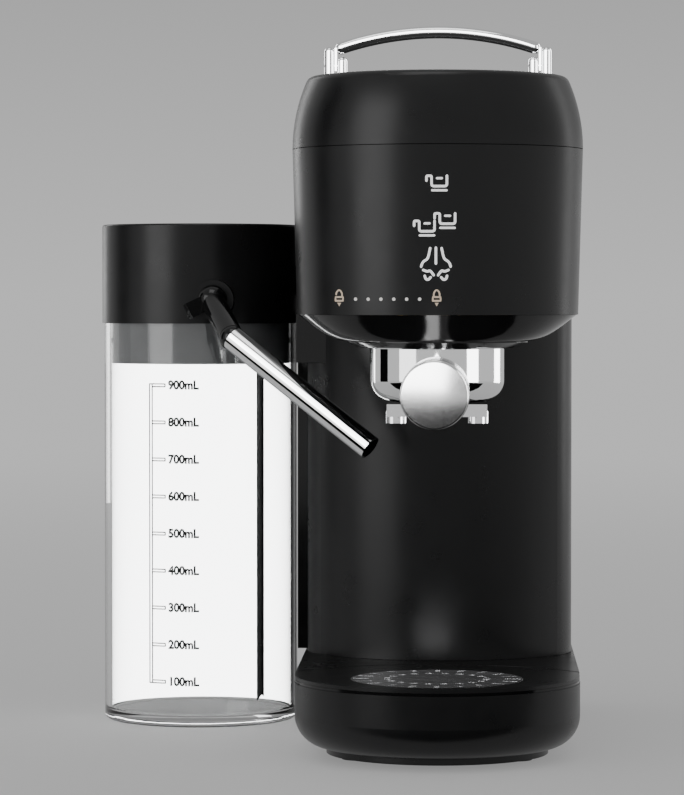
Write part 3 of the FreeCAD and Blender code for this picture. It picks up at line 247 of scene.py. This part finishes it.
def mesh_piece(name, work, material, body):
    """Turns a finished bmesh into a piece that rides on a body."""
    mesh = bpy.data.meshes.new(name)
    bmesh.ops.recalc_face_normals(work, faces=work.faces)
    work.to_mesh(mesh)
    work.free()
    mesh.materials.append(material)
    for face in mesh.polygons:
        face.use_smooth = False
    piece = bpy.data.objects.new(name, mesh)
    bpy.context.scene.collection.objects.link(piece)
    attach(piece, body)


def rounded(points, passes):
    """Softens the corners of an open line."""
    for _ in range(passes):
        softer = [points[0]]
        for a, b in zip(points, points[1:]):
            softer += [a.lerp(b, 0.25), a.lerp(b, 0.75)]
        points = softer + [points[-1]]
    return points


def filleted(points, radius):
    """Rounds each inner corner of a line by the same small amount."""
    result = [points[0]]
    for before, corner, after in zip(points, points[1:], points[2:]):
        start = corner + (before - corner).normalized() * min(radius, (before - corner).length / 2)
        end = corner + (after - corner).normalized() * min(radius, (after - corner).length / 2)
        result += [start.lerp(corner, t).lerp(corner.lerp(end, t), t) for t in (0, 0.25, 0.5, 0.75, 1)]
    return result + [points[-1]]


STROKE_STEP = 0.9 * MM


def line(work, points, width):
    """A flat stroke with round ends, drawn in X and Z."""
    fine = [points[0]]
    for a, b in zip(points, points[1:]):
        parts = max(1, math.ceil((b - a).length / STROKE_STEP))
        fine += [a.lerp(b, (i + 1) / parts) for i in range(parts)]
    rails = []
    for i, here in enumerate(fine):
        along = (fine[min(i + 1, len(fine) - 1)] - fine[max(i - 1, 0)]).normalized()
        side = Vector((-along.y, along.x)) * width / 2
        rails.append([work.verts.new((p.x, 0, p.y)) for p in (here + side, here - side)])
    for a, b in zip(rails, rails[1:]):
        work.faces.new((a[0], a[1], b[1], b[0]))
    for end, inner, rail in ((fine[0], fine[1], rails[0]), (fine[-1], fine[-2], rails[-1])):
        out = (end - inner).normalized()
        side = Vector((-out.y, out.x))
        turns = (math.pi * k / 6 for k in range(1, 6))
        arc = [end + (side * math.cos(t) + out * math.sin(t)) * width / 2 for t in turns]
        fan = [work.verts.new((p.x, 0, p.y)) for p in arc]
        first, last = (rail[0], rail[1]) if end is fine[-1] else (rail[1], rail[0])
        work.faces.new([first, *fan, last])


def strokes(work, place, lines, width, soft=0, corner=0):
    """Strokes given in millimetres about a place, with flowing curves or small round corners."""
    for points in lines:
        path = [Vector((place[0] + x * MM, place[1] + z * MM)) for x, z in points]
        if corner:
            path = filleted(path, corner * MM)
        line(work, rounded(path, soft) if soft else path, width * MM)


def mirrored(lines):
    return lines + [[(-x, z) for x, z in points] for points in lines]


def wrap(work, node, lift):
    """Lays a flat drawing on the front of a node, a hair above its surface."""
    mesh = nodes[node].data
    tree = BVHTree.FromPolygons([v.co for v in mesh.vertices], [p.vertices for p in mesh.polygons])
    for vertex in work.verts:
        spot, _, _, _ = tree.ray_cast(Vector((vertex.co.x, -1, vertex.co.z)), Vector((0, 1, 0)))
        vertex.co = spot - Vector((0, lift, 0))


CUP = [[(-4.38, 4.1), (-4.38, 6.16), (-2.19, 6.16), (-2.19, 2.3), (-1.7, 1.74), (3.8, 1.74),
        (4.34, 2.3), (4.34, 6.16)]]
CUP_LINES = [[(0.1, 5.13), (2.2, 5.13)], [(-1.95, 0), (4.2, 0)]]
STEAM = [
    [(-2.44, 13.65), (-3.39, 9.1), (-4.96, 8.27), (-5.87, 7.24), (-6.29, 5.79)],
    [(-5.38, 4.34), (-3.52, 3.6), (-2.5, 4.3), (-0.95, 2.15)],
    [(-4.76, 1.86), (-4.4, 0.5), (-3.2, 0.1), (-2.27, 1.24)],
]
LOCK_BODY = [[(-1.65, 0.4), (-1.65, 2.0), (1.65, 2.0), (1.65, 0.4), (-1.65, 0.4)]]
SHACKLE = [(-1.25, 2.0), (-1.25, 3.9), (0, 5.3), (1.25, 3.9), (1.25, 2.0)]
OPEN_SHACKLE = [(-1.35, 3.1), (-1.25, 4.1), (0, 5.3), (1.25, 3.9), (1.25, 2.0)]
ICON_LINE, LOCK_LINE, SHACKLE_LINE = 1.05, 0.78, 0.72
CUP_CORNER = 0.6
DOTS, DOT_START, DOT_STEP, DOT_RADIUS = 6, -34.8, 5.54, 0.72
PRINT_LIFT = 0.12 * MM


def head_spot(x, z):
    """A place on the head front, in millimetres from its axis and above the worktop."""
    return (HEAD_X + x * MM, z * MM)


def make_icons():
    work = bmesh.new()
    for x, z in ((0.18, 249.5), (-5.07, 230.3), (3.68, 233.5)):
        strokes(work, head_spot(x, z), CUP, ICON_LINE, 0, CUP_CORNER)
        strokes(work, head_spot(x, z), CUP_LINES, ICON_LINE * 0.9)
    strokes(work, head_spot(-0.15, 211.2), mirrored(STEAM), ICON_LINE, 2)
    strokes(work, head_spot(-0.15, 211.2), [[(0, 13.8), (0, 7.1)]], ICON_LINE)
    wrap(work, "head_shell", PRINT_LIFT)
    mesh_piece("drink_icons", work, print_white_painted_glow, "machine")
    work = bmesh.new()
    for x, shackle in ((-42.0, OPEN_SHACKLE), (0.2, SHACKLE)):
        spot = head_spot(x, 202.0)
        strokes(work, spot, LOCK_BODY, LOCK_LINE)
        strokes(work, spot, [shackle], SHACKLE_LINE, 2)
        corners = [(-0.85, -0.45), (0.85, -0.45), (0, -2.0)]
        work.faces.new([work.verts.new((spot[0] + a * MM, 0, spot[1] + b * MM))
                        for a, b in corners])
    wrap(work, "head_shell", PRINT_LIFT)
    mesh_piece("lock_icons", work, print_tan_painted_glow, "machine")
    work = bmesh.new()
    for k in range(DOTS):
        x, z = head_spot(DOT_START + DOT_STEP * k, 203.1)
        turns = (math.tau * i / 20 for i in range(20))
        work.faces.new([work.verts.new((x + DOT_RADIUS * MM * math.cos(t), 0,
                                        z + DOT_RADIUS * MM * math.sin(t))) for t in turns])
    wrap(work, "head_shell", PRINT_LIFT)
    mesh_piece("lock_dots", work, print_dots_painted_glow, "machine")


MARK_LOW, MARK_STEP, MARKS = 21.8, 17.56, 9
SCALE_X, TICK, BAR, THIN = -21.3, 7.6, 1.3, 0.62
LABEL_X, LABEL_CAPS = -12.2, 3.4


def frame_lines(low_x, low_z, high_x, high_z):
    """The four sides of an upright rectangle as separate strokes."""
    return [[(low_x, low_z), (high_x, low_z)], [(low_x, high_z), (high_x, high_z)],
            [(low_x, low_z), (low_x, high_z)], [(high_x, low_z), (high_x, high_z)]]


def make_jar_marks():
    place = (JAR.x, 0.0)
    top = MARK_LOW + MARK_STEP * (MARKS - 1)
    work = bmesh.new()
    outline = []
    for k in range(MARKS):
        z = MARK_LOW + MARK_STEP * k
        outline += frame_lines(SCALE_X + BAR, z - BAR / 2, SCALE_X + TICK, z + BAR / 2)
    outline += frame_lines(SCALE_X, MARK_LOW - BAR / 2, SCALE_X + BAR, top + BAR / 2)
    strokes(work, place, outline, THIN)
    wrap(work, "milk_jar", 0.05 * MM)
    mesh_piece("jar_scale", work, print_grey, "milk_jar")
    work = bmesh.new()
    for k in range(MARKS):
        text = bpy.data.curves.new("label", "FONT")
        text.body = f"{(k + 1) * 100}mL"
        text.size = LABEL_CAPS * MM / 0.6
        text.offset = 0.00028
        text.resolution_u = 4
        holder = bpy.data.objects.new("label", text)
        bpy.context.scene.collection.objects.link(holder)
        bpy.context.view_layer.update()
        flat = bpy.data.meshes.new_from_object(holder)
        z = (MARK_LOW + MARK_STEP * k - LABEL_CAPS / 2) * MM
        for vertex in flat.vertices:
            vertex.co = Vector((JAR.x + LABEL_X * MM + vertex.co.x * 0.93, 0, z + vertex.co.y))
        work.from_mesh(flat)
        bpy.data.objects.remove(holder)
        bpy.data.meshes.remove(flat)
    wrap(work, "milk_jar", 0.05 * MM)
    mesh_piece("jar_labels", work, print_black, "milk_jar")


# Studio -----------------------------------------------------------------------------------

WALL_TONE = (0.62, 0.62, 0.62)
SKY_TONE = (0.45, 0.45, 0.45)
LIGHT_REACH = 1.9
FLOOR_RADIUS = 14
FLOOR_DROP = 0.2 * MM
GLOW_START, GLOW_END = 0.4, 3.2
NEAREST_GLOW = 0.42
AIM_HEIGHT = 0.16
CARD_GAP = 1.5 * MM
CARD_STEPS = 48
CARD_GLOW, CARD_IN_REFLECTIONS = 8, 0.03


def make_world():
    """An even grey backdrop, a little lighter at the horizon."""
    world = bpy.data.worlds.new("studio")
    world.use_nodes = True
    tree = world.node_tree
    place = tree.nodes.new("ShaderNodeTexCoord")
    split = tree.nodes.new("ShaderNodeSeparateXYZ")
    tree.links.new(place.outputs["Generated"], split.inputs["Vector"])
    ramp = tree.nodes.new("ShaderNodeValToRGB")
    ramp.color_ramp.elements[0].color = rgb(*WALL_TONE)
    ramp.color_ramp.elements[1].position = 0.09
    ramp.color_ramp.elements[1].color = rgb(*SKY_TONE)
    tree.links.new(split.outputs["Z"], ramp.inputs["Fac"])
    tree.links.new(ramp.outputs["Color"], tree.nodes["Background"].inputs["Color"])
    bpy.context.scene.world = world


def make_floor():
    bpy.ops.mesh.primitive_circle_add(vertices=96, radius=FLOOR_RADIUS, fill_type="NGON",
                                      location=(0, 0, -FLOOR_DROP))
    floor = bpy.context.object
    floor.name = "floor"
    material = principled("floor_paper", Base_Color=rgb(0.88, 0.88, 0.88), Roughness=0.9,
                          Specular_IOR_Level=0.1)
    tree = material.node_tree
    place = tree.nodes.new("ShaderNodeTexCoord")
    distance = tree.nodes.new("ShaderNodeVectorMath")
    distance.operation = "LENGTH"
    tree.links.new(place.outputs["Object"], distance.inputs[0])
    ramp = tree.nodes.new("ShaderNodeMapRange")
    ramp.interpolation_type = "SMOOTHSTEP"
    ramp.inputs["From Min"].default_value = GLOW_START
    ramp.inputs["From Max"].default_value = GLOW_END
    ramp.inputs["To Min"].default_value = NEAREST_GLOW
    tree.links.new(distance.outputs["Value"], ramp.inputs["Value"])
    glow = tree.nodes.new("ShaderNodeEmission")
    glow.inputs["Color"].default_value = rgb(*WALL_TONE)
    mix = tree.nodes.new("ShaderNodeMixShader")
    tree.links.new(ramp.outputs["Result"], mix.inputs["Fac"])
    tree.links.new(tree.nodes["Principled BSDF"].outputs["BSDF"], mix.inputs[1])
    tree.links.new(glow.outputs["Emission"], mix.inputs[2])
    tree.links.new(mix.outputs["Shader"], tree.nodes["Material Output"].inputs["Surface"])
    floor.data.materials.append(material)
    floor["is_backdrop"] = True


def round_place(turn, height, reach):
    """A place round the object: turn is degrees to the camera's left, seen from above."""
    angle = math.radians(turn)
    return Vector((-reach * math.sin(angle), -reach * math.cos(angle), height))


def area_light(name, turn, height, reach, width, tall, energy):
    data = bpy.data.lights.new(name, "AREA")
    data.shape = "RECTANGLE"
    data.size, data.size_y = width, tall
    data.energy = energy
    light = bpy.data.objects.new(name, data)
    light.location = round_place(turn, height, reach)
    towards = Vector((0, 0, AIM_HEIGHT)) - light.location
    light.rotation_euler = towards.to_track_quat("-Z", "Y").to_euler()
    bpy.context.scene.collection.objects.link(light)
    return light


def glow_material(name, strength, in_reflections):
    """A light surface, dimmer where it is met by way of a reflection."""
    material = bpy.data.materials.new(name)
    material.use_nodes = True
    tree = material.node_tree
    tree.nodes.clear()
    glow = tree.nodes.new("ShaderNodeEmission")
    out = tree.nodes.new("ShaderNodeOutputMaterial")
    path = tree.nodes.new("ShaderNodeLightPath")
    ramp = tree.nodes.new("ShaderNodeMapRange")
    ramp.inputs["To Min"].default_value = strength
    ramp.inputs["To Max"].default_value = strength * in_reflections
    tree.links.new(path.outputs["Glossy Depth"], ramp.inputs["Value"])
    tree.links.new(ramp.outputs["Result"], glow.inputs["Strength"])
    tree.links.new(glow.outputs["Emission"], out.inputs["Surface"])
    return material


def stage_sheet(name, place, aim, half_width, half_height, material, seen_by):
    """A flat stage piece that only the named kinds of ray see."""
    mesh = bpy.data.meshes.new(name)
    mesh.from_pydata([(-1, -1, 0), (1, -1, 0), (1, 1, 0), (-1, 1, 0)], [], [(0, 1, 2, 3)])
    sheet = bpy.data.objects.new(name, mesh)
    mesh.materials.append(material)
    sheet.location = place
    sheet.rotation_euler = (Vector(aim) - Vector(place)).to_track_quat("Z", "Y").to_euler()
    sheet.scale = (half_width, half_height, 1)
    bpy.context.scene.collection.objects.link(sheet)
    for kind in ("camera", "diffuse", "glossy", "transmission", "shadow", "volume_scatter"):
        setattr(sheet, "visible_" + kind, kind in seen_by)
    sheet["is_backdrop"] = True


def collection_of(name, members):
    chosen = bpy.data.collections.new(name)
    for member in members:
        chosen.objects.link(member)
    return chosen


def make_lights():
    """Soft boxes for the whole object, then reflectors that only its bright metal sees, then black
    cards that paint dark reflections into glossy parts.
    """
    bright = (chrome, satin_chrome, brushed)
    metals = collection_of("bright_metal", [node for node in nodes.values()
                                            if any(m in bright for m in node.data.materials)])
    everything = collection_of("object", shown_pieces())
    boxes = (
        ("key_light", 49, 0.55, LIGHT_REACH, 1.1, 1.6, 12, everything),
        ("left_rim", 147, 0.45, LIGHT_REACH, 0.3, 1.5, 3.5, everything),
        ("right_rim", -124, 0.45, LIGHT_REACH, 0.4, 1.5, 1.8, everything),
        ("top_light", 10, 1.9, 0.5, 0.9, 0.9, 4, everything),
        ("front_reflector", 16, 0.76, 1.35, 1.4, 1.2, 45, metals),
        ("right_reflector", -62, 0.4, 1.3, 0.5, 1.4, 16, metals),
        ("right_back_reflector", -122, 0.4, 1.3, 0.5, 1.4, 16, metals),
        ("left_back_reflector", 140, 0.4, 1.3, 0.4, 1.4, 9, metals),
    )
    for name, turn, height, reach, width, tall, energy, receivers in boxes:
        light = area_light(name, turn, height, reach, width, tall, energy)
        light.light_linking.receiver_collection = receivers
    # Black cards that only glossy rays see: painted dark reflections of the floor in front and at the
    # side, in every glossy surface.
    dark = principled("painted_reflection_black", Base_Color=rgb(0.004, 0.004, 0.004), Roughness=1.0,
                      Specular_IOR_Level=0.0)
    near, half_depth = BASE_LOW.y - 8 * MM, 0.7
    middle_y = near - half_depth
    stage_sheet("dark_floor_card", (0.0, middle_y, 3 * MM), (0.0, middle_y, 1), 0.9, half_depth,
                dark, ("glossy",))
    stage_sheet("dark_side_card", round_place(101, 0.4, 1.7), (0, 0, AIM_HEIGHT), 0.33, 0.9,
                dark, ("glossy",))


def make_jar_card():
    """A white card round the back of the jar, which only shows through its clear wall."""
    low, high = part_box("milk_jar")
    radius = (high.x - low.x) / 2 + CARD_GAP
    bottom, top = low.z + 3 * MM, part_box("lid_insert")[0].z
    mesh = bpy.data.meshes.new("jar_card")
    points, faces = [], []
    for k in range(CARD_STEPS + 1):
        angle = math.pi * k / CARD_STEPS
        for z in (bottom, top):
            points.append((JAR.x + radius * math.cos(angle),
                           JAR.y + radius * math.sin(angle), z))
        if k:
            faces.append((2 * k - 2, 2 * k, 2 * k + 1, 2 * k - 1))
    mesh.from_pydata(points, [], faces)
    mesh.materials.append(glow_material("jar_card", CARD_GLOW, CARD_IN_REFLECTIONS))
    card = bpy.data.objects.new("jar_card", mesh)
    bpy.context.scene.collection.objects.link(card)
    for kind in ("camera", "diffuse", "glossy", "shadow", "volume_scatter"):
        setattr(card, "visible_" + kind, False)
    card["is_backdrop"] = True


make_camera()
dress_nodes()
make_icons()
make_jar_marks()
make_world()
make_floor()
make_lights()
make_jar_card()
